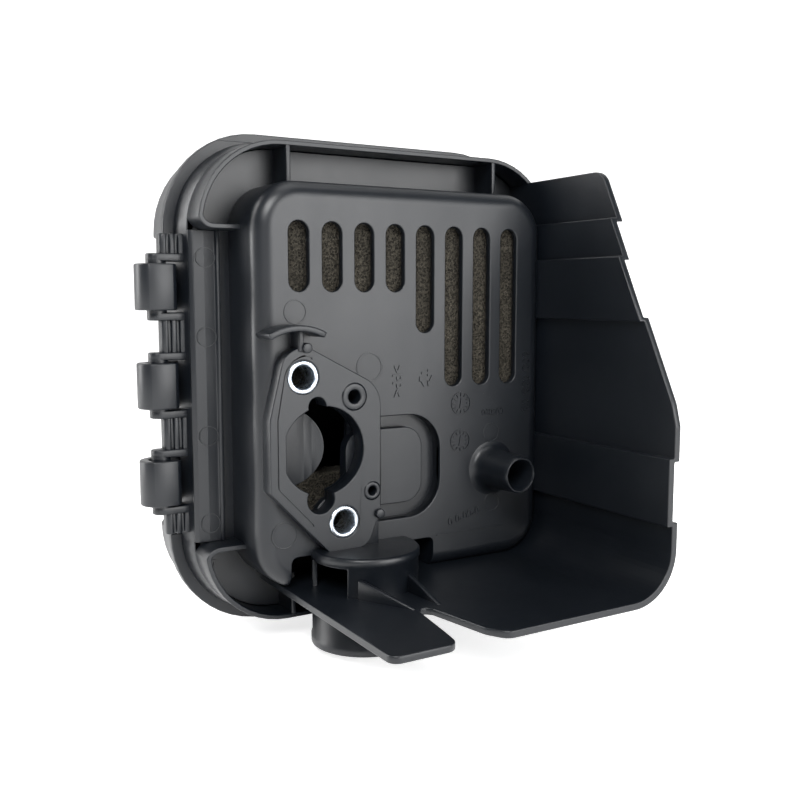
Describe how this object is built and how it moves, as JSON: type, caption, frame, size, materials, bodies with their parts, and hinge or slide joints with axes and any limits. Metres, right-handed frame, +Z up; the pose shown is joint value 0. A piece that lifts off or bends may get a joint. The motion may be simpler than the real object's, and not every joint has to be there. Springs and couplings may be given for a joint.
{
  "type": "air filter housing",
  "caption": "Moulded air filter housing of a small engine: slotted filter box with carburettor flange, breather nipple and shroud, and a hinged cover with latch tabs over a foam element.",
  "frame": {"origin": "on the flange face that meets the carburettor, on the solid strip beside the throat", "axes": "+X right and +Z up as seen from the engine, +Y away from the engine towards the cover"},
  "size_m": [0.1519, 0.119, 0.1614],
  "materials": {
    "moulded": "satin moulded, glass filled",
    "foam": "open cell foam",
    "seal": "matt",
    "zinc": "bright zinc plate",
    "bulb": "satin"
  },
  "bodies": {
    "housing": {"rear_housing": "moulded", "foam_element": "foam", "cover_seal": "seal", "sleeve_upper": "zinc", "sleeve_lower": "zinc", "primer_ring": "moulded"},
    "cover": {"front_cover": "moulded"},
    "tab_lower": {"latch_tab_lower": "moulded"},
    "tab_upper": {"latch_tab_upper": "moulded"},
    "bulb": {"primer_bulb": "bulb"}
  },
  "joints": [
    {"name": "cover_hinge", "type": "hinge", "parent": "housing", "child": "cover", "pos_m": [-0.056, 0.0334, 0.019], "axis": [0, 0, 1], "range_deg": [0, 110]},
    {"name": "tab_lower_flex", "type": "hinge", "parent": "cover", "child": "tab_lower", "pos_m": [0.0854, 0.0426, -0.0115], "axis": [0, 0, 1], "range_deg": [0, 12], "stiffness_Nm_per_rad": 1},
    {"name": "tab_upper_flex", "type": "hinge", "parent": "cover", "child": "tab_upper", "pos_m": [0.0854, 0.0426, 0.0485], "axis": [0, 0, 1], "range_deg": [0, 12], "stiffness_Nm_per_rad": 1},
    {"name": "primer_press", "type": "slide", "parent": "housing", "child": "bulb", "axis": [0, 0, 1], "range_m": [0, 0.005], "stiffness_N_per_m": 2000}
  ]
}
